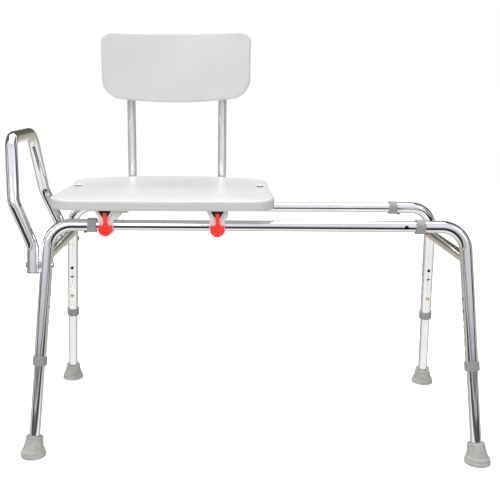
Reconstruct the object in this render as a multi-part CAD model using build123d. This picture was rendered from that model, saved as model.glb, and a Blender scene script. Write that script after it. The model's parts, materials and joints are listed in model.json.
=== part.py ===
from build123d import *
import math
import os

# Sliding bath transfer bench, in millimetres. X runs along the rails with the grab handle at -X,
# Y from front to back, Z up. The origin ends at the middle of the footprint box, on the floor.

# tubes
tube_wall = 1.5
leg_diameter = 25.4
tube_fit = 0.1             # clearance all round between a leg tube and the tube inside it
post_diameter = 20.0
handle_diameter = 25.4
cross_diameter = 22.2

# frame
rail_height = 471.0        # rail axis above the floor
rail_spacing = 262.0       # front rail axis to rear rail axis
leg_reach = 424.0          # middle of the bench to the corner where rail and leg axes meet
splay_x = 0.069            # sideways lean of a leg, per unit of height
splay_y = 0.198            # fore and aft lean of a leg, per unit of height
leg_bend = 50.0
collar_from_knee = 99.0    # that corner to the mouth of a rail collar
rail_overlap = 45.0        # rail inside the leg tube
outer_leg_end = 187.0      # height of the lower mouth of an outer leg tube
cross_drop = 64.0          # cross tube axis below the rail axis

# collars
collar_length = 19.0
collar_wall = 2.2
collar_lip = 2.0
seat_gap = 0.05            # between pieces that are pressed or glued together
slide_gap = 0.3            # between curved pieces that slide past each other

# leg adjustment
hole_pitch = 25.4
hole_count = 5
button_hole_index = 1      # counted from the lowest hole
button_height = 242.0      # height of the leg button's axis at rest
side_row_rise = 12.7       # the inward row of holes, above the button row
hole_diameter = 8.0
extension_top = 50.0       # extension tube above its button
foot_sole = 7.0            # rubber under the end of the extension tube

# snap buttons
button_gap = 0.1
button_proud = 4.0
button_travel = 5.6
button_flange = 1.3        # flange beyond the hole, all round
flange_thick = 1.4
leaf_thick = 0.6
leaf_width = 7.0
leaf_length = 42.0
rail_button_offset = 24.2  # rail button beyond the collar mouth

# feet
foot_radius = 27.2
foot_flange = 9.0
foot_neck_skin = 6.1       # rubber round the tube at the neck
foot_skirt_inset = 4.6     # foot of the cone inside the flange
foot_height = 40.0
washer_thick = 1.6

# grab handle, heights measured from the rail axis
handle_bolt_drop = 82.0
handle_end_drop = 97.0
handle_low_drop = 45.0
handle_kink_rises = {-1: 48.0, 1: 36.0}
handle_top_rise = 174.5
handle_kink_out = 36.0     # kink beyond the lower stretch, sideways
handle_top_out = 48.5
handle_kink_beyond = 10.0  # kink beyond the rail axes, front and back
handle_top_inside = 41.0   # top corner inside the rail axes
handle_bend = 40.0
handle_spacer = 2.6
bolt_radius = 3.0
bolt_head_radius = 6.0
bolt_head_rise = 2.2
sleeve_radius = 4.4

# seat
seat_width = 460.0
seat_front_beyond = 37.0   # front edge's corners beyond the front rail axis
seat_rear_beyond = 43.0    # rear edge's corners beyond the rear rail axis
seat_bow = 11.0
seat_front_radius = 48.0
seat_rear_radius = 24.0
seat_thick = 24.0
seat_rear_rise = 9.0
seat_edge = 4.5
seat_wall = 3.2
seat_slot_inset = 19.0     # slot's middle to the end of the seat
seat_slot_from_rear = 86.0
seat_slot_length = 42.0
seat_slot_width = 13.0
slot_dish = 5.5            # dished margin around a slot
slot_dish_depth = 2.5

# slide blocks and seat locks
block_pitch = 228.0
block_half = 15.75
block_flare = 22.0
barrel_skin = 3.2          # block wall round a back post
block_skin = 3.1           # block wall in front of and behind the rail
block_jaw = 3.9            # block below the rail
flange_margin = 5.5        # flange beyond the screws, towards the middle of the seat
flange_height = 5.0
mouth_half = 8.0
stop_gap = 4.0             # block to collar at either end of the travel
post_inset = 4.0           # post to the middle of its block, before the shift
back_shift = 13.0          # middle of the back rest beyond the middle of the seat
post_floor = 4.1           # block between the rail and the post above it
post_headroom = 0.5        # post to the seat above it
screw_radius = 2.2
screw_head_radius = 4.0
screw_depth = 12.0
screw_steps = (-17.0, -7.5)  # from the middle of a block, clear of the post
bush_radius = 4.75
bush_bore = 3.75
bush_start = 8.0           # from the rail axis to the inner end of the bush
bush_play = 1.75           # bush round the peg
peg_drop = 0.7
peg_clear = 0.5
lever_width = 7.3
lever_thick = 5.0
lever_gap = 5.0            # lever to block at rest, closed as the peg goes in
pivot_below_seat = 10.0
pivot_radius = 1.5
paddle_half = 14.4
paddle_top = 3.0
paddle_straight = 8.6
housing_top_below_seat = 3.0
housing_height = 12.5
housing_top_half = 13.6
housing_low_half = 6.0
housing_skin = 1.8

# back rest
post_behind_rail = 79.0    # upright of a post behind the rear rail axis
post_bend = 34.0
post_top = 385.0           # above the rail axis
plate_half = 174.5
plate_low = 255.5
plate_high = 404.0
plate_bow = 14.0
plate_low_radius = 48.0
plate_high_radius = 24.0
plate_thick = 20.0
plate_sag = 3.0            # dip in the middle of the plate's top edge
plate_in_post = 3.0        # rear face of the plate, at its middle, in front of the post axis
plate_curve = 731.0
plate_edge = 5.0
plate_wall = 3.2
plate_bolt_rises = (285.0, 350.0)
boss_half = 14.0
boss_low = 268.0
boss_high = 368.0
insert_radius = 5.0
insert_length = 13.0

# worked-out sizes
leg_radius = leg_diameter / 2
rail_radius = leg_radius - tube_wall - tube_fit
post_radius = post_diameter / 2
handle_radius = handle_diameter / 2
cross_radius = cross_diameter / 2
rail_bore = rail_radius - tube_wall
collar_radius = leg_radius + seat_gap + collar_wall
button_radius = hole_diameter / 2 - button_gap
flange_radius = hole_diameter / 2 + button_flange
peg_radius = bush_bore - bush_play
foot_neck_radius = rail_radius + foot_neck_skin
foot_skirt_radius = foot_radius - foot_skirt_inset
half_spacing = rail_spacing / 2
collar_mouth = leg_reach - collar_from_knee
rail_end = collar_mouth + rail_overlap
rail_button_x = collar_mouth + rail_button_offset
seat_x = -collar_mouth + stop_gap + block_half + block_pitch / 2
seat_travel = -2 * seat_x
post_rise = rail_radius + slide_gap + post_floor + post_radius
seat_clear = post_rise + post_radius + post_headroom
seat_low = rail_height + seat_clear
seat_high = seat_low + seat_thick
seat_front = -half_spacing - seat_front_beyond
seat_rear = half_spacing + seat_rear_beyond
seat_slot_x = seat_width / 2 - seat_slot_inset
seat_slot_y = seat_rear - seat_slot_from_rear
block_below = rail_radius + block_jaw
pivot_rise = seat_clear - pivot_below_seat
housing_top = seat_clear - housing_top_below_seat
housing_bottom = housing_top - housing_height
post_pitch = block_pitch - 2 * post_inset
post_y = half_spacing + post_behind_rail
plate_rear = post_y - plate_in_post
handle_kink_half = half_spacing + handle_kink_beyond
handle_top_half = half_spacing - handle_top_inside
block_front = rail_radius + slide_gap + block_skin
screw_out = block_front + screw_head_radius
block_inner = screw_out + flange_margin
lever_back = block_front + lever_gap
pivot_out = lever_back + lever_thick / 2
pivot_height = rail_height + pivot_rise
block_y = half_spacing
corners = {"front_left": (-1, -1), "front_right": (1, -1), "rear_left": (-1, 1), "rear_right": (1, 1)}


def rod(start, direction, radius, length):
    return Plane(origin=start, z_dir=direction) * Cylinder(radius, length, align=(Align.CENTER, Align.CENTER, Align.MIN))


def pipe(start, direction, radius, wall, length):
    return rod(start, direction, radius, length) - rod(start, direction, radius - wall, length)


def bent_tube(points, bends, radius, wall):
    path = FilletPolyline(*points, radius=bends)
    mouth = Plane(origin=path @ 0, z_dir=path % 0)
    return sweep(mouth * Circle(radius), path=path) - sweep(mouth * Circle(radius - wall), path=path)


def bent_rod(points, bends, radius):
    path = FilletPolyline(*points, radius=bends)
    mouth = Plane(origin=path @ 0, z_dir=path % 0)
    return sweep(mouth * Circle(radius), path=path)


def slab(low, high):
    size = Vector(*high) - Vector(*low)
    return Pos(*low) * Box(size.X, size.Y, size.Z, align=(Align.MIN, Align.MIN, Align.MIN))


def solids(*shapes):
    return Compound([solid for shape in shapes for solid in shape.solids()])


def round_rim(shape, point, radius):
    """Rounds the circular edge whose centre is nearest to point."""
    rims = shape.edges().filter_by(GeomType.CIRCLE)
    return fillet(min(rims, key=lambda rim: (rim.arc_center - Vector(*point)).length), radius)


def bowed_outline(half, low, high, bow, low_radius, high_radius, top_bow):
    """A four-sided outline with bowed ends and rounded corners, in the XY plane."""
    with BuildSketch() as sketch:
        with BuildLine():
            ThreePointArc((-half, low), (0, low - bow), (half, low))
            Line((half, low), (half, high))
            if top_bow:
                ThreePointArc((half, high), (0, high + top_bow), (-half, high))
            else:
                Line((half, high), (-half, high))
            Line((-half, high), (-half, low))
        make_face()
        fillet(sketch.vertices().group_by(Axis.Y)[0], low_radius)
        fillet(sketch.vertices().group_by(Axis.Y)[-1], high_radius)
    return sketch.sketch


# ---- legs ----

def leg_knee(side, end):
    return Vector(side * leg_reach, end * half_spacing, rail_height)


def leg_down(side, end):
    return Vector(side * splay_x, end * splay_y, -1).normalized()


def leg_point(side, end, height):
    down = leg_down(side, end)
    return leg_knee(side, end) + down * ((rail_height - height) / -down.Z)


def square_to(down, towards):
    """The direction nearest to towards that is square to down."""
    return (towards - down * towards.dot(down)).normalized()


def button_way(side, end):
    return square_to(leg_down(side, end), Vector(0, -end, 0))


def side_way(side, end):
    return square_to(leg_down(side, end), Vector(-side, 0, 0))


def outer_leg(side, end):
    down = leg_down(side, end)
    mouth = Vector(side * (collar_mouth + collar_lip), end * half_spacing, rail_height)
    tube = bent_tube([mouth, leg_knee(side, end), leg_point(side, end, outer_leg_end)], [leg_bend],
                     leg_radius, tube_wall)
    lowest = leg_point(side, end, button_height) + down * (hole_pitch * button_hole_index)
    for index in range(hole_count):
        centre = lowest - down * (hole_pitch * index)
        tube -= rod(centre, button_way(side, end), hole_diameter / 2, leg_diameter)
        tube -= rod(centre - down * side_row_rise, side_way(side, end), hole_diameter / 2, leg_diameter)
    tube -= rod(Vector(side * rail_button_x, end * half_spacing, rail_height), Vector(0, 0, -1),
                hole_diameter / 2, leg_diameter)
    if side < 0:
        bolt = leg_point(side, end, rail_height - handle_bolt_drop)
        tube -= rod(bolt - Vector(leg_diameter, 0, 0), Vector(1, 0, 0), bolt_radius + seat_gap, leg_diameter)
        tube -= rod(bolt, Vector(1, 0, 0), sleeve_radius + seat_gap, leg_diameter)
    return tube


def leg_extension(side, end):
    down = leg_down(side, end)
    button = leg_point(side, end, button_height)
    top = button - down * extension_top
    bottom = leg_point(side, end, foot_sole + rail_radius * splay_y)
    tube = pipe(top, down, rail_radius, tube_wall, (bottom - top).length)
    return tube - rod(button, button_way(side, end), hole_diameter / 2, leg_diameter)


def foot(side, end):
    down = leg_down(side, end)
    ground = leg_point(side, end, 0)
    neck = leg_point(side, end, foot_height)
    skirt = leg_point(side, end, -foot_flange)
    height = (neck - skirt).length
    cone = Plane(origin=skirt, z_dir=-down) * Cone(foot_skirt_radius + foot_flange * 0.1, foot_neck_radius, height,
                                                   align=(Align.CENTER, Align.CENTER, Align.MIN))
    cone -= Pos(ground.X, ground.Y, 0) * Box(200, 200, 100, align=(Align.CENTER, Align.CENTER, Align.MAX))
    flange = Pos(ground.X, ground.Y, 0) * Cylinder(foot_radius, foot_flange,
                                                   align=(Align.CENTER, Align.CENTER, Align.MIN))
    flange = round_rim(flange, (ground.X, ground.Y, 100), 2.5)
    flange = round_rim(flange, (ground.X, ground.Y, -100), 1.0)
    socket = leg_point(side, end, foot_sole + rail_radius * splay_y)
    body = cone + flange
    body -= rod(socket, -down, rail_radius + seat_gap, 2 * foot_height)
    body -= rod(socket, down, rail_radius - tube_wall, washer_thick + seat_gap)
    return body


def foot_washer(side, end):
    socket = leg_point(side, end, foot_sole + rail_radius * splay_y)
    return rod(socket + leg_down(side, end) * seat_gap, leg_down(side, end), rail_radius - tube_wall - seat_gap,
               washer_thick - seat_gap)


def collar(mouth, inwards, tube_radius):
    """A sleeve over the mouth of a tube, with a lip that closes on the tube inside."""
    sleeve = rod(mouth, inwards, collar_radius, collar_length)
    sleeve = fillet(sleeve.edges().filter_by(GeomType.CIRCLE), 1.2)
    sleeve -= rod(mouth + inwards * collar_lip, inwards, leg_radius + seat_gap, collar_length)
    return sleeve - rod(mouth, inwards, tube_radius + slide_gap, collar_length)


def snap_button(centre, way, outside):
    """A domed button whose flange sits inside the tube wall."""
    shelf = math.sqrt(rail_bore ** 2 - flange_radius ** 2) - button_gap
    stem = rod(centre + way * (shelf - flange_thick), way, button_radius, outside + button_proud - shelf + flange_thick)
    tip = centre + way * (outside + button_proud)
    stem = round_rim(stem, tip, 2.2)
    return stem + rod(centre + way * (shelf - flange_thick), way, flange_radius, flange_thick)


def snap_spring(centre, way, along):
    """A folded leaf spring in the tube, under the button and against the opposite wall."""
    shelf = math.sqrt(rail_bore ** 2 - flange_radius ** 2) - button_gap - flange_thick
    top = shelf - leaf_thick / 2 - seat_gap
    wall = -math.sqrt(rail_bore ** 2 - (leaf_width / 2) ** 2) + leaf_thick / 2 + slide_gap
    plane = Plane(origin=centre, x_dir=along, z_dir=along.cross(way))
    foot_end = flange_radius
    line = Polyline((-foot_end, top), (foot_end, top), (leaf_length - 2, 0.6), (leaf_length, 0),
                    (leaf_length - 2, -0.6), (foot_end, wall), (-foot_end, wall))
    strip = plane * trace(line, leaf_thick)
    return extrude(strip, leaf_width / 2, both=True)


# ---- fixed frame ----

def rail(end):
    tube = pipe(Vector(-rail_end, end * half_spacing, rail_height), Vector(1, 0, 0), rail_radius, tube_wall,
                2 * rail_end)
    for side in (-1, 1):
        tube -= rod(Vector(side * rail_button_x, end * half_spacing, rail_height), Vector(0, 0, -1),
                    hole_diameter / 2, leg_diameter)
    return tube


def lock_hole_places():
    left = seat_x - block_pitch / 2
    right = seat_x + block_pitch / 2
    return (left, right, right + seat_travel)


def front_rail():
    tube = rail(-1)
    for place in lock_hole_places():
        tube -= rod(Vector(place, -half_spacing, rail_height), Vector(0, -1, 0), bush_radius + seat_gap, leg_diameter)
    return tube


def lock_bush(place):
    """A ring in the rail's wall, flush with its outside."""
    centre = Vector(place, -half_spacing, rail_height)
    skin = rod(centre - Vector(20, 0, 0), Vector(1, 0, 0), rail_radius, 40)
    ring = rod(centre + Vector(0, -bush_start, 0), Vector(0, -1, 0), bush_radius, leg_diameter) & skin
    return ring - rod(centre, Vector(0, -1, 0), bush_bore, leg_diameter)


def cross_tube(side):
    height = rail_height - cross_drop
    front = leg_point(side, -1, height)
    rear = leg_point(side, 1, height)
    tube = pipe(front, Vector(0, 1, 0), cross_radius, tube_wall, (rear - front).length)
    for end in (-1, 1):
        mouth = Vector(side * (collar_mouth + collar_lip), end * half_spacing, rail_height)
        tube -= bent_rod([mouth, leg_knee(side, end), leg_point(side, end, outer_leg_end)], [leg_bend],
                         leg_radius + seat_gap)
    return max(tube.solids(), key=lambda solid: solid.volume)


def handle_lower_x():
    leg = leg_point(-1, -1, rail_height - handle_bolt_drop)
    return leg.X - leg_radius - handle_spacer - handle_radius


def handle_corners(end):
    x = handle_lower_x()
    low_end = Vector(x, leg_point(-1, end, rail_height - handle_end_drop).Y, rail_height - handle_end_drop)
    low = Vector(x, leg_point(-1, end, rail_height - handle_low_drop).Y, rail_height - handle_low_drop)
    kink = Vector(x - handle_kink_out, end * handle_kink_half,
                  rail_height + handle_kink_rises[end])
    top = Vector(x - handle_top_out, end * handle_top_half, rail_height + handle_top_rise)
    return [low_end, low, kink, top]


def handle_bolt_start(end):
    leg = leg_point(-1, end, rail_height - handle_bolt_drop)
    return Vector(handle_lower_x() - handle_radius, leg.Y, leg.Z)


def grab_handle():
    points = handle_corners(-1) + handle_corners(1)[::-1]
    tube = bent_tube(points, [handle_bend] * (len(points) - 2), handle_radius, tube_wall)
    for end in (-1, 1):
        tube -= rod(handle_bolt_start(end) - Vector(5, 0, 0), Vector(1, 0, 0), bolt_radius + seat_gap, 2 * leg_diameter)
    return tube


def handle_plug(end):
    low_end, low = handle_corners(end)[:2]
    up = (low - low_end).normalized()
    cap = rod(low_end - up * 2.5, up, handle_radius, 2.4)
    cap = round_rim(cap, low_end - up * 10, 1.0)
    return cap + rod(low_end - up * 0.2, up, handle_radius - tube_wall - seat_gap, 7)


def handle_bolt(end):
    start = handle_bolt_start(end)
    leg = leg_point(-1, end, rail_height - handle_bolt_drop)
    across = Vector(1, 0, 0)
    length = leg.X + leg_radius - start.X - 4.0
    head = rod(start - across * bolt_head_rise, across, bolt_head_radius, bolt_head_rise)
    head = round_rim(head, start - across * 10, bolt_head_rise - 0.3)
    return head + rod(start, across, bolt_radius, length)


def handle_nut(end):
    """A low domed nut with a threaded sleeve that reaches into the leg."""
    leg = leg_point(-1, end, rail_height - handle_bolt_drop)
    face = Vector(leg.X + leg_radius, leg.Y, leg.Z)
    across = Vector(1, 0, 0)
    head = rod(face - across * 1.5, across, bolt_head_radius, bolt_head_rise + 1.5)
    head = round_rim(head, face + across * 10, bolt_head_rise - 0.3)
    down = leg_down(-1, end)
    head -= rod(leg - down * 30, down, leg_radius + seat_gap, 60)
    sleeve = rod(face - across * 16, across, sleeve_radius, 16)
    return head + sleeve - rod(face - across * 17, across, bolt_radius + seat_gap, 15)


def handle_washer(end):
    """A saddle between the handle and the leg, hollowed to both tubes."""
    leg = leg_point(-1, end, rail_height - handle_bolt_drop)
    middle = (handle_lower_x() + leg.X) / 2
    reach = handle_spacer / 2 + 3.0
    block = rod(Vector(middle - reach, leg.Y, leg.Z), Vector(1, 0, 0), 7.5, 2 * reach)
    low_end, low = handle_corners(end)[:2]
    along = (low - low_end).normalized()
    block -= rod(low_end - along * 20, along, handle_radius + seat_gap, 120)
    down = leg_down(-1, end)
    block -= rod(leg - down * 60, down, leg_radius + seat_gap, 120)
    return block - rod(Vector(middle - 20, leg.Y, leg.Z), Vector(1, 0, 0), bolt_radius + seat_gap, 40)


# ---- seat carriage ----

def seat_profile(low, high, rise):
    """The side view of the seat: level, then rising gently to the rear."""
    far = seat_rear + seat_bow + 30
    start = seat_rear - 90
    with BuildSketch(Plane.YZ) as side:
        with BuildLine():
            Line((seat_front - 60, low), (far, low))
            Line((far, low), (far, high + rise * 1.35))
            Spline((far, high + rise * 1.35), (start, high), tangents=((-1, -0.16), (-1, 0)))
            Line((start, high), (seat_front - 60, high))
            Line((seat_front - 60, high), (seat_front - 60, low))
        make_face()
    return Pos(seat_x, 0, 0) * extrude(side.sketch, seat_width, both=True)


def slot_bar(side, grow, low, high):
    shape = SlotOverall(seat_slot_length + 2 * grow, seat_slot_width + 2 * grow, rotation=90)
    return Pos(seat_x + side * seat_slot_x, seat_slot_y, low) * extrude(shape, high - low)


def screw_places():
    """Two screws into the seat through the flange of each slide block."""
    for side in (-1, 1):
        for end in (-1, 1):
            for step in screw_steps:
                yield (seat_x + side * block_pitch / 2 + step, end * (half_spacing - screw_out))


def seat():
    outline = bowed_outline(seat_width / 2, seat_front, seat_rear, seat_bow, seat_front_radius, seat_rear_radius,
                            seat_bow)
    body = Pos(seat_x, 0, seat_low) * extrude(outline, seat_thick + 2 * seat_rear_rise)
    body = (body & seat_profile(seat_low, seat_high, seat_rear_rise)).solids()[0]
    rim = [edge for edge in body.edges() if edge.center().Z > seat_high - 1 and edge.length > 1]
    rim = [edge for edge in rim if abs(edge.center().X - seat_x) > 100 or abs(edge.center().Y) > 130]
    body = fillet(rim, seat_edge)
    body = fillet(body.edges().group_by(Axis.Z)[0], 3.0)
    inner = bowed_outline(seat_width / 2 - seat_edge, seat_front + seat_edge, seat_rear - seat_edge, seat_bow,
                          seat_front_radius, seat_rear_radius, seat_bow)
    cavity = Pos(seat_x, 0, seat_low + seat_wall) * extrude(inner, seat_thick - 2 * seat_wall)
    for side in (-1, 1):
        cavity -= slot_bar(side, slot_dish + seat_wall, seat_low, seat_high)
        body -= slot_bar(side, 0, seat_low - 1, seat_high + 2 * seat_rear_rise)
        body -= slot_bar(side, slot_dish, seat_high - slot_dish_depth, seat_high + 2 * seat_rear_rise)
    for x, y in screw_places():
        cavity -= Pos(x, y, seat_low) * Cylinder(7.0, seat_thick, align=(Align.CENTER, Align.CENTER, Align.MIN))
    for x, y in screw_places():
        body -= Pos(x, y, seat_low) * Cylinder(screw_radius + seat_gap, screw_depth + 0.5,
                                               align=(Align.CENTER, Align.CENTER, Align.MIN))
    return body - cavity


def seat_screw(x, y):
    under = seat_low - flange_height
    shank = Pos(x, y, under) * Cylinder(screw_radius, flange_height + screw_depth,
                                        align=(Align.CENTER, Align.CENTER, Align.MIN))
    head = Pos(x, y, under) * Cylinder(screw_head_radius, 2.4, align=(Align.CENTER, Align.CENTER, Align.MAX))
    return shank + round_rim(head, (x, y, under - 10), 1.2)


def block_x(side):
    return seat_x + side * block_pitch / 2


def post_x(side):
    return seat_x + back_shift + side * post_pitch / 2


def front_outline(points, x, y, depth):
    """A closed outline in the XZ plane, thickened towards +Y from y."""
    face = Plane(origin=(x, y, rail_height), x_dir=(1, 0, 0), z_dir=(0, -1, 0)) * make_face(Polyline(*points, close=True))
    return extrude(face, -depth)


def slide_block(side, end):
    x = block_x(side)
    y = end * block_y
    half = block_half
    points = [(-block_flare, seat_clear), (block_flare, seat_clear), (block_flare, seat_clear - flange_height),
              (half, seat_clear - flange_height - 13), (half, -block_below), (-half, -block_below),
              (-half, seat_clear - flange_height - 13), (-block_flare, seat_clear - flange_height)]
    body = front_outline(points, x, y - block_front, 2 * block_front)
    low_edges = body.edges().filter_by(Axis.Y).group_by(Axis.Z)[0]
    body = fillet(low_edges, 4.0)
    inner_edge = y - end * block_inner
    body += slab((x - block_flare, min(y, inner_edge), seat_low - flange_height),
                 (x + block_flare, max(y, inner_edge), seat_low))
    barrel = rod(Vector(post_x(side), y - block_front, rail_height + post_rise), Vector(0, 1, 0),
                 post_radius + barrel_skin, 2 * block_front)
    body += barrel & slab((x - 60, y - 60, rail_height), (x + 60, y + 60, seat_low))
    if end < 0:
        body += lock_funnel(x, y)
    body -= rod(Vector(x - 50, y, rail_height), Vector(1, 0, 0), rail_radius + slide_gap, 100)
    body -= slab((x - 50, y - mouth_half, rail_height - block_below - 1), (x + 50, y + mouth_half, rail_height))
    groove_start = y - rail_radius - 1.4 if end < 0 else y - 60
    run = y + 60 - groove_start
    body -= rod(Vector(post_x(side), groove_start, rail_height + post_rise), Vector(0, 1, 0),
                post_radius + seat_gap, run)
    body -= slab((post_x(side) - post_radius - seat_gap, groove_start, rail_height + post_rise),
                 (post_x(side) + post_radius + seat_gap, groove_start + run, seat_low + 1))
    for sx, sy in screw_places():
        body -= Pos(sx, sy, seat_low - 20) * Cylinder(screw_radius + seat_gap, 40)
    return max(body.solids(), key=lambda solid: solid.volume)


def funnel_points(grow):
    return [(-housing_top_half - grow, housing_top + grow), (housing_top_half + grow, housing_top + grow),
            (housing_low_half + grow, housing_bottom - grow), (-housing_low_half - grow, housing_bottom - grow)]


def housing_depth():
    return pivot_out + lever_thick / 2 + 1.0 - block_front


def lock_funnel(x, y):
    """The white shell on a front block that holds the black lock housing."""
    depth = housing_depth()
    shell = front_outline(funnel_points(housing_skin), x, y - block_front - depth, depth)
    hollow = front_outline(funnel_points(0), x, y - block_front - depth - 1, depth + 1)
    low = slab((x - housing_low_half, y - block_front - depth - 1, rail_height + housing_bottom - housing_skin - 1),
               (x + housing_low_half, y - block_front, rail_height + housing_bottom + 1))
    window = rod(Vector(x, y - block_front - 1, rail_height), Vector(0, 1, 0), bush_radius + 0.4, 10)
    return shell - hollow - low - window


def peg_window(x, y):
    return rod(Vector(x, y - block_front - 1, rail_height), Vector(0, 1, 0), bush_radius + 0.4, block_skin + 3)


def lock_housing(side):
    x = block_x(side)
    y = -block_y
    depth = housing_depth() - seat_gap
    body = front_outline(funnel_points(-seat_gap), x, y - block_front - seat_gap - depth + 0.8, depth - 0.8)
    slot = lever_width / 2 + 0.4
    body -= slab((x - slot, y - block_front - depth - 2, rail_height), (x + slot, y - block_front - 0.9,
                                                                      pivot_height + lever_thick / 2 + 0.9))
    return body - rod(Vector(x - 30, y - pivot_out, pivot_height), Vector(1, 0, 0), pivot_radius + seat_gap, 60)


def lock_pin(side):
    reach = housing_top_half - (housing_top - pivot_rise) * 0.55 - 1.4
    return rod(Vector(block_x(side) - reach, -block_y - pivot_out, pivot_height), Vector(1, 0, 0), pivot_radius,
               2 * reach)


def lock_lever(side):
    x = block_x(side)
    front = -block_y - pivot_out - lever_thick / 2
    stem = slab((x - lever_width / 2, front, rail_height + paddle_top - 1),
                (x + lever_width / 2, front + lever_thick, pivot_height))
    stem += rod(Vector(x - lever_width / 2, -block_y - pivot_out, pivot_height), Vector(1, 0, 0), lever_thick / 2,
                lever_width)
    low = paddle_top - paddle_straight
    with BuildSketch() as outline:
        with BuildLine():
            Line((-paddle_half, paddle_top), (paddle_half, paddle_top))
            Line((paddle_half, paddle_top), (paddle_half, low))
            ThreePointArc((paddle_half, low), (0, low - paddle_half), (-paddle_half, low))
            Line((-paddle_half, low), (-paddle_half, paddle_top))
        make_face()
    plane = Plane(origin=(x, front, rail_height), x_dir=(1, 0, 0), z_dir=(0, -1, 0))
    paddle = extrude(plane * outline.sketch, -lever_thick)
    paddle = fillet(paddle.edges().group_by(Axis.Y)[0] + paddle.edges().group_by(Axis.Y)[-1], 0.8)
    dish = extrude(plane * offset(outline.sketch, -2.6), -0.8)
    peg_tip = -block_y - rail_radius - peg_clear
    peg = rod(Vector(x, front + lever_thick / 2, rail_height - peg_drop), Vector(0, 1, 0), peg_radius,
              peg_tip - front - lever_thick / 2)
    body = stem + paddle - dish + peg
    return body - rod(Vector(x - 30, -block_y - pivot_out, pivot_height), Vector(1, 0, 0),
                      pivot_radius + 0.08, 60)


# ---- back rest ----

def post_end_y():
    return -block_y - rail_radius - 0.9


def back_post(side):
    x = post_x(side)
    corner = Vector(x, post_y, rail_height + post_rise)
    points = [Vector(x, post_end_y(), corner.Z), corner, Vector(x, post_y, rail_height + post_top)]
    tube = bent_tube(points, [post_bend], post_radius, tube_wall)
    for rise in plate_bolt_rises:
        tube -= rod(Vector(x, post_y + 20, rail_height + rise), Vector(0, -1, 0), bolt_radius + seat_gap, 40)
    return tube


def post_cap(side):
    top = Vector(post_x(side), post_y, rail_height + post_top)
    cap = rod(top + Vector(0, 0, 0.1), Vector(0, 0, 1), post_radius, 2.4)
    cap = round_rim(cap, top + Vector(0, 0, 10), 1.0)
    return cap + rod(top + Vector(0, 0, 0.2), Vector(0, 0, -1), post_radius - tube_wall - seat_gap, 9)


def plate_slab(near, far, low, high):
    """A slice of a wide ring, hollow side to the front."""
    ring = Cylinder(plate_curve - near, high - low) - Cylinder(plate_curve - far, high - low)
    return Pos(seat_x + back_shift, plate_rear - plate_curve, rail_height + (low + high) / 2) * ring


def back_plate():
    plane = Plane(origin=(seat_x + back_shift, plate_rear + 60, rail_height), x_dir=(-1, 0, 0), z_dir=(0, 1, 0))
    outline = bowed_outline(plate_half, plate_low, plate_high, plate_bow, plate_low_radius, plate_high_radius,
                            -plate_sag)
    block = extrude(plane * outline, -200)
    body = (block & plate_slab(0, plate_thick, plate_low - 40, plate_high + 20)).solids()[0]
    rims = [edge for edge in body.edges() if edge.length > 12 and abs(edge.tangent_at(0.5).Y) < 0.9]
    body = fillet(rims, plate_edge)
    inner = bowed_outline(plate_half - plate_edge - 1, plate_low + plate_edge, plate_high - plate_edge - 1, plate_bow,
                          plate_low_radius, plate_high_radius, -plate_sag)
    cavity = extrude(plane * inner, -200) & plate_slab(plate_wall, plate_thick - plate_wall, plate_low - 40,
                                                        plate_high + 20)
    for side in (-1, 1):
        x = post_x(side)
        boss = slab((x - boss_half, plate_rear - plate_thick, rail_height + boss_low),
                    (x + boss_half, post_y - 4, rail_height + boss_high))
        boss &= plate_slab(-30, plate_wall, plate_low - 40, plate_high + 20)
        body += boss
        for rise in plate_bolt_rises:
            cavity -= rod(Vector(x, plate_rear + 10, rail_height + rise), Vector(0, -1, 0), insert_radius + 3, 60)
    body -= cavity
    for side in (-1, 1):
        x = post_x(side)
        body -= rod(Vector(x, post_y, rail_height), Vector(0, 0, 1), post_radius + seat_gap, post_top + 60)
        for rise in plate_bolt_rises:
            body -= rod(Vector(x, post_y, rail_height + rise), Vector(0, -1, 0), insert_radius + seat_gap,
                        post_radius + insert_length + 0.6)
    return max(body.solids(), key=lambda solid: solid.volume)


def back_insert(side, rise):
    start = Vector(post_x(side), post_y - post_radius - 0.5, rail_height + rise)
    sleeve = rod(start, Vector(0, -1, 0), insert_radius, insert_length)
    return sleeve - rod(start, Vector(0, -1, 0), bolt_radius + seat_gap, insert_length - 2)


def back_bolt(side, rise):
    head_face = Vector(post_x(side), post_y + post_radius, rail_height + rise)
    head = rod(head_face, Vector(0, 1, 0), bolt_head_radius, 3.6)
    head = round_rim(head, head_face + Vector(0, 10, 0), 2.4)
    return head + rod(head_face, Vector(0, -1, 0), bolt_radius, post_diameter + insert_length - 3.5)


# ---- assembly ----

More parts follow.
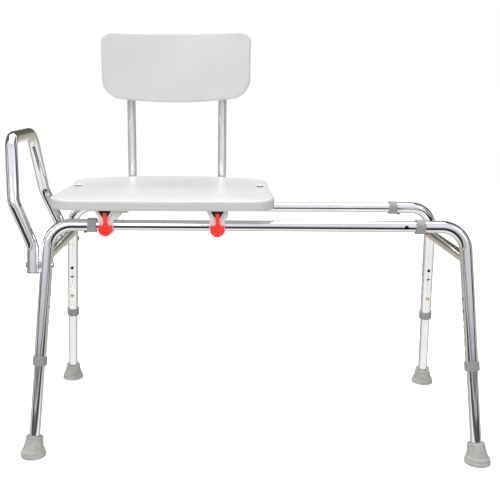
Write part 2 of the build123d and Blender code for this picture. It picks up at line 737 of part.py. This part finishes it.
def build():
    nodes = {"front_rail": front_rail(), "rear_rail": rail(1)}
    rail_collars = []
    leg_collars = []
    rail_springs = []
    for corner, (side, end) in corners.items():
        down = leg_down(side, end)
        nodes["leg_tube_" + corner] = outer_leg(side, end)
        nodes["leg_extension_" + corner] = leg_extension(side, end)
        nodes["foot_" + corner] = foot(side, end)
        nodes["foot_washer_" + corner] = foot_washer(side, end)
        leg_centre = leg_point(side, end, button_height)
        nodes["leg_button_" + corner] = snap_button(leg_centre, button_way(side, end), leg_radius)
        nodes["leg_spring_" + corner] = snap_spring(leg_centre, button_way(side, end), -down)
        rail_centre = Vector(side * rail_button_x, end * half_spacing, rail_height)
        nodes["rail_button_" + corner] = snap_button(rail_centre, Vector(0, 0, -1), leg_radius)
        rail_springs.append(snap_spring(rail_centre, Vector(0, 0, -1), Vector(-side, 0, 0)))
        mouth = Vector(side * collar_mouth, end * half_spacing, rail_height)
        rail_collars.append(collar(mouth, Vector(side, 0, 0), rail_radius))
        leg_collars.append(collar(leg_point(side, end, outer_leg_end) + down * collar_lip, -down, rail_radius))
    nodes["rail_collars"] = solids(*rail_collars)
    nodes["leg_collars"] = solids(*leg_collars)
    nodes["rail_springs"] = solids(*rail_springs)
    nodes["lock_bushes"] = solids(*[lock_bush(place) for place in lock_hole_places()])
    nodes["cross_tube_left"] = cross_tube(-1)
    nodes["cross_tube_right"] = cross_tube(1)
    nodes["grab_handle"] = grab_handle()
    ends = (-1, 1)
    nodes["handle_plugs"] = solids(*[handle_plug(end) for end in ends])
    nodes["handle_bolts"] = solids(*[handle_bolt(end) for end in ends])
    nodes["handle_nuts"] = solids(*[handle_nut(end) for end in ends])
    nodes["handle_saddles"] = solids(*[handle_washer(end) for end in ends])
    nodes["seat"] = seat()
    nodes["seat_screws"] = solids(*[seat_screw(x, y) for x, y in screw_places()])
    for corner, (side, end) in corners.items():
        block = slide_block(side, end)
        if end < 0:
            block -= peg_window(block_x(side), -block_y)
        nodes["slide_block_" + corner] = block
    sides = {"left": -1, "right": 1}
    for word, side in sides.items():
        nodes["lock_lever_" + word] = lock_lever(side)
        nodes["lock_housing_" + word] = lock_housing(side)
        nodes["back_post_" + word] = back_post(side)
    nodes["lock_pins"] = solids(*[lock_pin(side) for side in ends])
    nodes["post_caps"] = solids(*[post_cap(side) for side in ends])
    nodes["back_plate"] = back_plate()
    bolts = [(side, rise) for side in ends for rise in plate_bolt_rises]
    nodes["back_inserts"] = solids(*[back_insert(side, rise) for side, rise in bolts])
    nodes["back_bolts"] = solids(*[back_bolt(side, rise) for side, rise in bolts])
    return nodes


nodes = build()
box = Compound([solid for shape in nodes.values() for solid in shape.solids()]).bounding_box()
shift = Vector(-(box.min.X + box.max.X) / 2, -(box.min.Y + box.max.Y) / 2, 0)
os.makedirs("parts", exist_ok=True)
for name, shape in nodes.items():
    export_step(Pos(shift.X, shift.Y, shift.Z) * shape, "parts/" + name + ".step")
print("nodes", len(nodes), "size", box.size, "floor", round(box.min.Z, 3), "shift", shift)
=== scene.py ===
import json
import math
import bmesh
import bpy
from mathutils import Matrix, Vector


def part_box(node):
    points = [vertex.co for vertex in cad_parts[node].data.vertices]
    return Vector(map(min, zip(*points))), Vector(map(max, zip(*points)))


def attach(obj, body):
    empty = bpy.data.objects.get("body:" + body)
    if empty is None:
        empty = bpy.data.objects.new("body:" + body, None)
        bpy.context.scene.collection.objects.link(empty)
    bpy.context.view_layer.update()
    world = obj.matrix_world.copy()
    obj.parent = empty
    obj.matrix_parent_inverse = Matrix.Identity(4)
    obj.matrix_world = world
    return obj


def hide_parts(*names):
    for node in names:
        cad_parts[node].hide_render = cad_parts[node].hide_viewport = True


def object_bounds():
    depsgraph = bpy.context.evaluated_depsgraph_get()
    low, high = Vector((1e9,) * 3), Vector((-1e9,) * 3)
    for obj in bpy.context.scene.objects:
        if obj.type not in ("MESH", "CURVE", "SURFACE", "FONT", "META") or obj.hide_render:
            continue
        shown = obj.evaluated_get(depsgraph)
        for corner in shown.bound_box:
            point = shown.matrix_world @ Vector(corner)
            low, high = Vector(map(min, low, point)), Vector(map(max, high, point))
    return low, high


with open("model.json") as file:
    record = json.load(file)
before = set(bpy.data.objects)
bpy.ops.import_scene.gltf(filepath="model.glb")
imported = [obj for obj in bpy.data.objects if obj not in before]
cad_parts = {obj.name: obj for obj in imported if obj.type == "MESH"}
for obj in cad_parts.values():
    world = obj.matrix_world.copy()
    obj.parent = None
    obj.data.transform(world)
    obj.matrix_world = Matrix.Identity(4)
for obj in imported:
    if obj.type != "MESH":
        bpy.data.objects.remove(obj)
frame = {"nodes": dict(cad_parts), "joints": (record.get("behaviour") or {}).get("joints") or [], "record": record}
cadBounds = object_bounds()
nodes = frame["nodes"]
bodyOfNode = {node: body for body, members in frame["record"]["behaviour"]["bodies"].items()
              for node in members}
slotOfNode = {part["node"]: part["material_slot"] for part in frame["record"]["subparts"]}
jointOf = {joint["name"]: joint for joint in frame["joints"]}
corners = ("front_left", "front_right", "rear_left", "rear_right")
sides = ("left", "right")
mm = 0.001
scene = bpy.context.scene
print("frame loaded:", len(nodes), "nodes")

# camera in front of the bench, a little left of its middle and below the top of the back rest
cameraSettings = {"place": (-0.0538, -1.7043, 0.7459), "down": 0.2227, "turn": 0.0356, "lens": 56.0,
                  "shiftX": 0.1142, "shiftY": 0.0285}


def makeCamera(settings):
    data = bpy.data.cameras.new("benchCamera")
    data.lens = settings["lens"]
    data.sensor_width = 36
    data.shift_x = settings["shiftX"]
    data.shift_y = settings["shiftY"]
    camera = bpy.data.objects.new("benchCamera", data)
    camera.location = settings["place"]
    camera.rotation_euler = (math.pi / 2 - settings["down"], 0, settings["turn"])
    scene.collection.objects.link(camera)
    scene.camera = camera


makeCamera(cameraSettings)

studio = {"floorSize": 9.0, "floorColor": (0.93, 0.93, 0.92, 1), "floorGlow": 0.75,
          "floorRough": 0.7, "floorShine": 0.2, "floorGap": 0.0002, "clothRough": 0.9, "aim": (0, 0, 0.45),
          "frontToBack": (-0.08, 0.10),
          "paper": (1.0, 1.0, 1.0, 1),
          "fill": ((0.0, (0.78, 0.78, 0.77)), (0.42, (0.62, 0.62, 0.61)), (0.56, (0.22, 0.225, 0.23)),
                   (1.0, (0.24, 0.245, 0.25))),
          "back": ((0.0, (0.66, 0.63, 0.55)), (0.36, (0.50, 0.47, 0.39)), (0.50, (0.42, 0.395, 0.32)),
                   (0.54, (0.24, 0.23, 0.18)), (0.60, (0.12, 0.12, 0.095)), (0.97, (0.12, 0.12, 0.10)),
                   (1.0, (0.30, 0.30, 0.28))),
          "front": ((0.0, (1.0, 1.0, 1.0)), (0.34, (1.0, 1.0, 1.0)), (0.46, (0.92, 0.91, 0.90)),
                    (0.488, (0.80, 0.79, 0.78)), (0.499, (0.13, 0.13, 0.14)), (0.512, (0.13, 0.13, 0.14)),
                    (0.524, (0.50, 0.50, 0.54)), (0.57, (0.68, 0.68, 0.74)), (0.66, (0.95, 0.96, 1.0)),
                    (0.85, (0.90, 0.91, 1.0)), (1.0, (0.62, 0.63, 0.72))),
          "lamps": (("topLamp", (-0.1, 0.30, 2.9), 2.6, 74), ("keyLamp", (-0.9, -3.2, 1.9), 1.4, 42),
                    ("fillLamp", (2.4, -1.5, 1.9), 1.2, 3)),
          "flags": (("flagFloor", (0, -1.86, 0.006), (7.0, 2.80, 0.0), (0.002, 0.002, 0.003, 1)),
                    ("flagLeft", (-2.4, -1.0, 0.8), (0.30, 0.62, 2.4), (0.002, 0.002, 0.003, 1)),
                    ("flagRight", (2.4, -0.9, 0.8), (0.30, 0.62, 2.4), (0.002, 0.002, 0.003, 1)))}


def makeWorld(settings):
    world = bpy.data.worlds.new("studioWorld")
    scene.world = world
    world.use_nodes = True
    tree = world.node_tree
    tree.nodes.clear()
    output = tree.nodes.new("ShaderNodeOutputWorld")
    path = tree.nodes.new("ShaderNodeLightPath")
    lights = {name: tree.nodes.new("ShaderNodeBackground") for name in ("fill", "room", "paper")}
    lights["paper"].inputs["Color"].default_value = settings["paper"]
    coords = tree.nodes.new("ShaderNodeTexCoord")
    parts = tree.nodes.new("ShaderNodeSeparateXYZ")
    tree.links.new(coords.outputs["Generated"], parts.inputs["Vector"])
    height = tree.nodes.new("ShaderNodeMapRange")
    height.inputs["From Min"].default_value = -1
    tree.links.new(parts.outputs["Z"], height.inputs["Value"])
    ramps = {}
    for end in ("fill", "back", "front"):
        ramps[end] = tree.nodes.new("ShaderNodeValToRGB")
        elements = ramps[end].color_ramp.elements
        elements[0].color = (*settings[end][0][1], 1)
        elements[1].color = (*settings[end][-1][1], 1)
        for spot, tone in settings[end][1:-1]:
            elements.new(spot).color = (*tone, 1)
        tree.links.new(height.outputs["Result"], ramps[end].inputs["Fac"])
    toBack = tree.nodes.new("ShaderNodeMapRange")
    toBack.inputs["From Min"].default_value, toBack.inputs["From Max"].default_value = settings["frontToBack"]
    tree.links.new(parts.outputs["Y"], toBack.inputs["Value"])
    room = tree.nodes.new("ShaderNodeMix")
    room.data_type = "RGBA"
    tree.links.new(toBack.outputs["Result"], room.inputs["Factor"])
    tree.links.new(ramps["front"].outputs["Color"], room.inputs["A"])
    tree.links.new(ramps["back"].outputs["Color"], room.inputs["B"])
    tree.links.new(room.outputs["Result"], lights["room"].inputs["Color"])
    tree.links.new(ramps["fill"].outputs["Color"], lights["fill"].inputs["Color"])
    glossy = tree.nodes.new("ShaderNodeMixShader")
    seen = tree.nodes.new("ShaderNodeMixShader")
    tree.links.new(path.outputs["Is Glossy Ray"], glossy.inputs["Fac"])
    tree.links.new(lights["fill"].outputs[0], glossy.inputs[1])
    tree.links.new(lights["room"].outputs[0], glossy.inputs[2])
    tree.links.new(path.outputs["Is Camera Ray"], seen.inputs["Fac"])
    tree.links.new(glossy.outputs[0], seen.inputs[1])
    tree.links.new(lights["paper"].outputs[0], seen.inputs[2])
    tree.links.new(seen.outputs[0], output.inputs["Surface"])


def makeStudio(settings):
    floorMesh = bpy.data.meshes.new("floorPaper")
    half = settings["floorSize"] / 2
    outline = [(-half, -half, 0), (half, -half, 0), (half, half, 0), (-half, half, 0)]
    floorMesh.from_pydata(outline, [], [(0, 1, 2, 3)])
    floor = bpy.data.objects.new("floorPaper", floorMesh)
    scene.collection.objects.link(floor)
    floor.location.z = cadBounds[0][2] - settings["floorGap"]
    material = bpy.data.materials.new("floorPaper")
    material.use_nodes = True
    shader = material.node_tree.nodes["Principled BSDF"]
    shader.inputs["Base Color"].default_value = settings["floorColor"]
    shader.inputs["Roughness"].default_value = settings["floorRough"]
    shader.inputs["Specular IOR Level"].default_value = settings["floorShine"]
    shader.inputs["Emission Color"].default_value = (1, 1, 1, 1)
    shader.inputs["Emission Strength"].default_value = settings["floorGlow"]
    floorMesh.materials.append(material)
    floor.visible_diffuse = floor.visible_glossy = False  # the lower part of the world stands in for it
    for name, place, size, tone in settings["flags"]:
        cloth = bpy.data.materials.new(name)
        cloth.use_nodes = True
        clothShader = cloth.node_tree.nodes["Principled BSDF"]
        clothShader.inputs["Base Color"].default_value = tone
        clothShader.inputs["Roughness"].default_value = settings["clothRough"]
        card = bpy.data.meshes.new(name)
        x, y, z = (value / 2 for value in size)
        if z:
            card.from_pydata([(-x, -y, -z), (x, y, -z), (x, y, z), (-x, -y, z)], [], [(0, 1, 2, 3)])
        else:
            card.from_pydata([(-x, -y, 0), (x, -y, 0), (x, y, 0), (-x, y, 0)], [], [(0, 1, 2, 3)])
        card.materials.append(cloth)
        flag = bpy.data.objects.new(name, card)
        flag.location = place
        flag.visible_camera = flag.visible_diffuse = flag.visible_shadow = False
        scene.collection.objects.link(flag)
    for name, place, size, power in settings["lamps"]:
        data = bpy.data.lights.new(name, "AREA")
        data.size = size
        data.energy = power
        lamp = bpy.data.objects.new(name, data)
        lamp.location = place
        lamp.rotation_euler = (Vector(settings["aim"]) - Vector(place)).to_track_quat("-Z", "Y").to_euler()
        scene.collection.objects.link(lamp)


makeWorld(studio)
makeStudio(studio)
scene.view_settings.view_transform = "Standard"
print("studio ready")


# finishes

def startMaterial(name, color, roughness, metallic=0.0):
    material = bpy.data.materials.new(name)
    material.use_nodes = True
    shader = material.node_tree.nodes["Principled BSDF"]
    shader.inputs["Base Color"].default_value = (*color, 1)
    shader.inputs["Roughness"].default_value = roughness
    shader.inputs["Metallic"].default_value = metallic
    return material, material.node_tree, shader


def place(tree, stretch=(1, 1, 1), turn=(0, 0, 0)):
    coords = tree.nodes.new("ShaderNodeTexCoord")
    mapping = tree.nodes.new("ShaderNodeMapping")
    mapping.vector_type = "TEXTURE"
    mapping.inputs["Rotation"].default_value = turn
    mapping.inputs["Scale"].default_value = [1 / value for value in stretch]
    tree.links.new(coords.outputs["Object"], mapping.inputs["Vector"])
    return mapping.outputs["Vector"]


def noise(tree, vector, scale, detail=2.0, roughness=0.5):
    node = tree.nodes.new("ShaderNodeTexNoise")
    node.inputs["Scale"].default_value = scale
    node.inputs["Detail"].default_value = detail
    node.inputs["Roughness"].default_value = roughness
    tree.links.new(vector, node.inputs["Vector"])
    return node.outputs["Fac"]


def remap(tree, value, low, high, fromLow=0.3, fromHigh=0.7):
    node = tree.nodes.new("ShaderNodeMapRange")
    for name, number in (("From Min", fromLow), ("From Max", fromHigh), ("To Min", low), ("To Max", high)):
        node.inputs[name].default_value = number
    tree.links.new(value, node.inputs["Value"])
    return node.outputs["Result"]


def blendColors(tree, value, low, high):
    node = tree.nodes.new("ShaderNodeMix")
    node.data_type = "RGBA"
    node.inputs["A"].default_value = (*low, 1)
    node.inputs["B"].default_value = (*high, 1)
    tree.links.new(value, node.inputs["Factor"])
    return node.outputs["Result"]


def bump(tree, shader, height, distance, strength=1.0):
    node = tree.nodes.new("ShaderNodeBump")
    node.inputs["Distance"].default_value = distance
    node.inputs["Strength"].default_value = strength
    tree.links.new(height, node.inputs["Height"])
    before = shader.inputs["Normal"].links
    if before:
        tree.links.new(before[0].from_socket, node.inputs["Normal"])
    tree.links.new(node.outputs["Normal"], shader.inputs["Normal"])


tubeFinish = {"dull": (0.76, 0.765, 0.775), "bright": (0.93, 0.935, 0.95),
              "roughLow": 0.04, "roughHigh": 0.12, "streak": 1600, "stretch": 0.006, "streakDepth": 0.00002,
              "streakStrength": 0.35}


def tubeMaterial(name, along, settings=tubeFinish):
    material, tree, shader = startMaterial(name, settings["bright"], settings["roughLow"], 1.0)
    turn = Vector((0, 0, 1)).rotation_difference(Vector(along)).to_euler()
    drawn = place(tree, (1, 1, settings["stretch"]), turn)
    streaks = noise(tree, drawn, settings["streak"], 3.0)
    smudges = noise(tree, place(tree), 22, 4.0, 0.6)
    both = tree.nodes.new("ShaderNodeMath")
    both.operation = "MULTIPLY_ADD"
    both.inputs[1].default_value = 0.5
    tree.links.new(streaks, both.inputs[0])
    half = tree.nodes.new("ShaderNodeMath")
    half.operation = "MULTIPLY"
    half.inputs[1].default_value = 0.5
    tree.links.new(smudges, half.inputs[0])
    tree.links.new(half.outputs[0], both.inputs[2])
    rough = remap(tree, both.outputs[0], settings["roughLow"], settings["roughHigh"])
    tree.links.new(rough, shader.inputs["Roughness"])
    tone = blendColors(tree, remap(tree, both.outputs[0], 0, 1), settings["bright"], settings["dull"])
    tree.links.new(tone, shader.inputs["Base Color"])
    bump(tree, shader, streaks, settings["streakDepth"], settings["streakStrength"])
    return material


mouldedFinishes = {
    "seat_white": {"low": (0.74, 0.75, 0.73), "high": (0.80, 0.81, 0.79), "rough": (0.34, 0.46),
                   "cloud": 9, "grain": 1500, "grainDepth": 0.00006, "peel": 260, "peelDepth": 0.00012},
    "back_grey": {"low": (0.76, 0.762, 0.765), "high": (0.81, 0.81, 0.813), "rough": (0.36, 0.50),
                  "cloud": 10, "grain": 1300, "grainDepth": 0.0001, "peel": 300, "peelDepth": 0.00012},
    "block_white": {"low": (0.88, 0.88, 0.86), "high": (0.94, 0.94, 0.92), "rough": (0.40, 0.52),
                    "cloud": 30, "grain": 1800, "grainDepth": 0.00005, "peel": 400, "peelDepth": 0.00006},
    "collar_grey": {"low": (0.33, 0.33, 0.34), "high": (0.46, 0.46, 0.47), "rough": (0.45, 0.62),
                    "cloud": 130, "grain": 1500, "grainDepth": 0.00008, "peel": 500, "peelDepth": 0.00008},
    "foot_rubber": {"low": (0.50, 0.49, 0.465), "high": (0.66, 0.645, 0.615), "rough": (0.62, 0.8),
                    "cloud": 60, "grain": 1400, "grainDepth": 0.00012, "peel": 350, "peelDepth": 0.00012},
    "lever_red": {"low": (0.92, 0.016, 0.014), "high": (1.0, 0.045, 0.035), "rough": (0.26, 0.38),
                  "cloud": 120, "grain": 1800, "grainDepth": 0.00004, "peel": 500, "peelDepth": 0.00006},
    "housing_black": {"low": (0.008, 0.008, 0.009), "high": (0.02, 0.02, 0.022), "rough": (0.30, 0.45),
                      "cloud": 120, "grain": 1800, "grainDepth": 0.00005, "peel": 500, "peelDepth": 0.00006}}


def mouldedMaterial(name, settings):
    material, tree, shader = startMaterial(name, settings["high"], settings["rough"][0])
    spot = place(tree)
    clouds = noise(tree, spot, settings["cloud"], 4.0, 0.55)
    grain = noise(tree, spot, settings["grain"], 2.0)
    peel = noise(tree, spot, settings["peel"], 2.0)
    tree.links.new(blendColors(tree, remap(tree, clouds, 0, 1), settings["low"], settings["high"]),
                   shader.inputs["Base Color"])
    rough = remap(tree, clouds, settings["rough"][1], settings["rough"][0])
    tree.links.new(rough, shader.inputs["Roughness"])
    bump(tree, shader, grain, settings["grainDepth"], 0.5)
    bump(tree, shader, peel, settings["peelDepth"], 0.5)
    shader.inputs["Specular IOR Level"].default_value = 0.45
    return material


metalFinishes = {
    "button_brass": {"low": (0.55, 0.33, 0.10), "high": (0.86, 0.60, 0.24),
                     "rough": (0.14, 0.34), "cloud": 320},
    "insert_brass": {"low": (0.50, 0.34, 0.14), "high": (0.80, 0.60, 0.28),
                     "rough": (0.20, 0.40), "cloud": 260},
    "fixing_steel": {"low": (0.45, 0.46, 0.48), "high": (0.72, 0.73, 0.75),
                     "rough": (0.18, 0.36), "cloud": 240},
    "spring_steel": {"low": (0.28, 0.28, 0.30), "high": (0.55, 0.55, 0.57),
                     "rough": (0.22, 0.40), "cloud": 200}}


def metalMaterial(name, settings):
    material, tree, shader = startMaterial(name, settings["high"], settings["rough"][0], 1.0)
    wear = noise(tree, place(tree), settings["cloud"], 5.0, 0.6)
    tree.links.new(blendColors(tree, remap(tree, wear, 0, 1), settings["low"], settings["high"]),
                   shader.inputs["Base Color"])
    tree.links.new(remap(tree, wear, settings["rough"][1], settings["rough"][0]), shader.inputs["Roughness"])
    bump(tree, shader, wear, 0.00005, 0.4)
    return material


finishes = {slot: mouldedMaterial(slot, settings) for slot, settings in mouldedFinishes.items()}
leverGlowShader = finishes["lever_red"].node_tree.nodes["Principled BSDF"]  # the red lever's shader; the emission set below is a painted glow on the lever, which is no lamp
# painted glow: a faint red emission on the lever
leverGlowShader.inputs["Emission Color"].default_value = (1.0, 0.05, 0.04, 1)
leverGlowShader.inputs["Emission Strength"].default_value = 0.28
finishes.update({slot: metalMaterial(slot, settings) for slot, settings in metalFinishes.items()})
upright = (0, 0, 1)
tubeRuns = {"front_rail": (1, 0, 0), "rear_rail": (1, 0, 0), "cross_tube_left": (0, 1, 0),
            "cross_tube_right": (0, 1, 0),
            "grab_handle": (0.2, 0, 1), "back_post_left": upright, "back_post_right": upright}
for corner in corners:
    legAxis = jointOf["leg_" + corner + "_height"]["axis"]
    tubeRuns["leg_tube_" + corner] = legAxis
    tubeRuns["leg_extension_" + corner] = legAxis
for node, item in nodes.items():
    item.data.materials.clear()
    if node in tubeRuns:
        item.data.materials.append(tubeMaterial(node + "_finish", tubeRuns[node]))
    else:
        item.data.materials.append(finishes[slotOfNode[node]])
print("finishes ready")


# moulded pieces: the frame's shape with softened edges

def bake(piece):
    graph = bpy.context.evaluated_depsgraph_get()
    done = bpy.data.meshes.new_from_object(piece.evaluated_get(graph))
    old = piece.data
    piece.modifiers.clear()
    piece.data = done
    bpy.data.meshes.remove(old)
    done.name = piece.name


def softCopy(node, name, voxel, rounds):
    piece = bpy.data.objects.new(name, nodes[node].data.copy())
    scene.collection.objects.link(piece)
    remesh = piece.modifiers.new("remesh", "REMESH")
    remesh.mode = "VOXEL"
    remesh.voxel_size = voxel
    soften = piece.modifiers.new("soften", "SMOOTH")
    soften.factor = 0.5
    soften.iterations = rounds
    bake(piece)
    piece.data.shade_smooth()
    piece.data.materials.clear()
    piece.data.materials.append(finishes[slotOfNode[node]])
    return piece


def finishPiece(piece, node):
    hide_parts(node)
    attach(piece, bodyOfNode[node])


softPieces = {"rail_collars": ("railCollars", 0.0007, 4), "leg_collars": ("legCollars", 0.0007, 4),
              "handle_plugs": ("handlePlugs", 0.0006, 3), "post_caps": ("postCaps", 0.0006, 3)}
for side in sides:
    softPieces["lock_lever_" + side] = ("lockLever." + side, 0.0004, 5)
    softPieces["lock_housing_" + side] = ("lockHousing." + side, 0.0004, 3)
for corner in corners:
    softPieces["slide_block_" + corner] = ("slideBlock." + corner, 0.0008, 4)
for node, (name, voxel, rounds) in softPieces.items():
    finishPiece(softCopy(node, name, voxel, rounds), node)
print("small mouldings ready")

# the last entry is the dark colour painted onto the strap slot walls as painted shade
seatShape = {"voxel": 0.0016, "rounds": 3, "front": 0.0030, "frontReach": 0.050,
             "frontCorner": 0.0015, "crown": 0.0060, "dish": 0.0020,
             "slotEdge": (0.0038, 0.0046), "slotTop": 0.0168, "paintedSlotShade": (0.035, 0.035, 0.033)}


def smoothStep(value):
    value = min(max(value, 0.0), 1.0)
    return value * value * (3 - 2 * value)


# painted shade: blends a dark colour into the seat's colour on the strap slot walls, where shade would fall in the
# slots
def paintSlotShade(settings):
    material = finishes["seat_white"]
    tree = material.node_tree
    shader = tree.nodes["Principled BSDF"]
    surface = shader.inputs["Base Color"].links[0].from_socket
    coords = tree.nodes.new("ShaderNodeTexCoord")
    for opening in frame["record"]["physics"]["openings"]:
        if not opening["name"].startswith("strap_slot"):
            continue
        low, high = (Vector(corner) for corner in opening["box_m"])
        high.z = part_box("seat")[0].z + settings["slotTop"]
        low.z = high.z - 0.06
        offset = tree.nodes.new("ShaderNodeVectorMath")
        offset.operation = "SUBTRACT"
        offset.inputs[1].default_value = (low + high) / 2
        tree.links.new(coords.outputs["Object"], offset.inputs[0])
        size = tree.nodes.new("ShaderNodeVectorMath")
        size.operation = "ABSOLUTE"
        tree.links.new(offset.outputs["Vector"], size.inputs[0])
        beyond = tree.nodes.new("ShaderNodeVectorMath")
        beyond.operation = "SUBTRACT"
        beyond.inputs[1].default_value = (high - low) / 2 - Vector((0, 0, settings["slotEdge"][0]))
        tree.links.new(size.outputs["Vector"], beyond.inputs[0])
        outside = tree.nodes.new("ShaderNodeVectorMath")
        outside.operation = "MAXIMUM"
        outside.inputs[1].default_value = (0, 0, 0)
        tree.links.new(beyond.outputs["Vector"], outside.inputs[0])
        distance = tree.nodes.new("ShaderNodeVectorMath")
        distance.operation = "LENGTH"
        tree.links.new(outside.outputs["Vector"], distance.inputs[0])
        # mask of the painted shade: full inside each slot, fading out across the slot's edge
        paintedShade = remap(tree, distance.outputs["Value"], 1, 0, *settings["slotEdge"])
        mix = tree.nodes.new("ShaderNodeMix")
        mix.data_type = "RGBA"
        tree.links.new(paintedShade, mix.inputs["Factor"])
        tree.links.new(surface, mix.inputs["A"])
        mix.inputs["B"].default_value = (*settings["paintedSlotShade"], 1)
        surface = mix.outputs["Result"]
    tree.links.new(surface, shader.inputs["Base Color"])


def makeSeat(settings):
    low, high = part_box("seat")
    # paint shade onto the seat's strap slot walls
    paintSlotShade(settings)
    seat = softCopy("seat", "seatBoard", settings["voxel"], settings["rounds"])
    thickness = high.z - low.z
    middle = (low.x + high.x) / 2
    for vertex in seat.data.vertices:
        spot = vertex.co
        lift = smoothStep((spot.z - low.z) / (thickness * 0.7))
        toFront = 1 - smoothStep((spot.y - low.y) / settings["frontReach"])
        toRear = smoothStep((spot.y - low.y) / (high.y - low.y))
        out = min(abs(spot.x - middle) / (high.x - middle), 1)
        sink = settings["front"] * toFront ** 1.5 + settings["frontCorner"] * out ** 3 * (1 - toRear)
        crown = settings["crown"] * out ** 2.5 * toRear
        dish = settings["dish"] * (1 - out ** 2) * toRear * (1 - toRear) * 4
        sink += crown + dish
        spot.z -= lift * sink
    finishPiece(seat, "seat")


makeSeat(seatShape)
finishPiece(softCopy("back_plate", "backPlate", 0.0016, 6), "back_plate")
print("seat and back ready")

# feet, each a stack of rings (radius, height, turn from the floor to the leg), in mm
footShape = {"segments": 72,
             "rings": ((0.0, 0, 0), (24.6, 0, 0), (25.9, 0.3, 0), (26.3, 1.2, 0),
                       (26.3, 6.6, 0), (26.0, 7.4, 0), (25.2, 7.8, 0), (24.7, 7.9, 0),
                       (24.45, 8.4, 0), (24.4, 9.2, 0), (24.3, 13.6, 0), (24.0, 14.3, 0),
                       (23.2, 14.7, 0.05), (21.9, 14.9, 0.1), (21.4, 15.3, 0.2), (21.1, 16.2, 0.3),
                       (20.5, 19.0, 0.6), (19.2, 26, 0.85), (18.0, 33.5, 1), (17.4, 36.6, 1),
                       (17.35, 37.0, 1), (17.7, 37.3, 1), (18.1, 37.8, 1), (18.2, 38.6, 1),
                       (18.1, 39.6, 1), (17.6, 40.4, 1), (16.8, 40.7, 1), (14.6, 40.6, 1),
                       (13.8, 40.1, 1), (13.3, 38.6, 1), (11.6, 37.6, 1), (11.15, 36.8, 1),
                       (11.15, 11.5, 1), (0.0, 11.5, 1))}


def makeFoot(corner, settings):
    down = Vector(jointOf["leg_" + corner + "_height"]["axis"]).normalized()
    low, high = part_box("foot_washer_" + corner)
    ground = (low + high) / 2
    ground = ground + down * (ground.z / -down.z)
    work = bmesh.new()
    previous = None
    for radius, height, tilt in settings["rings"]:
        flat = ground + Vector((0, 0, height * mm))
        leaning = ground - down * (height * mm / -down.z)
        centre = flat.lerp(leaning, tilt)
        turn = Vector((0, 0, 1)).rotation_difference(Vector((0, 0, 1)).lerp(-down, tilt).normalized())
        if radius == 0:
            ring = [work.verts.new(centre)]
        else:
            ring = []
            for step in range(settings["segments"]):
                angle = 2 * math.pi * step / settings["segments"]
                spoke = Vector((math.cos(angle), math.sin(angle), 0)) * radius * mm
                ring.append(work.verts.new(centre + turn @ spoke))
        if previous:
            count = settings["segments"]
            for step in range(count):
                after = (step + 1) % count
                if len(previous) == 1:
                    work.faces.new((previous[0], ring[after], ring[step]))
                elif len(ring) == 1:
                    work.faces.new((previous[step], previous[after], ring[0]))
                else:
                    work.faces.new((previous[step], previous[after], ring[after], ring[step]))
        previous = ring
    bmesh.ops.recalc_face_normals(work, faces=work.faces)
    mesh = bpy.data.meshes.new("foot." + corner)
    work.to_mesh(mesh)
    work.free()
    foot = bpy.data.objects.new("foot." + corner, mesh)
    scene.collection.objects.link(foot)
    refine = foot.modifiers.new("refine", "SUBSURF")
    refine.levels = refine.render_levels = 1
    bake(foot)
    foot.data.shade_smooth()
    foot.data.materials.clear()
    foot.data.materials.append(finishes["foot_rubber"])
    finishPiece(foot, "foot_" + corner)


for corner in corners:
    makeFoot(corner, footShape)
print("feet ready")
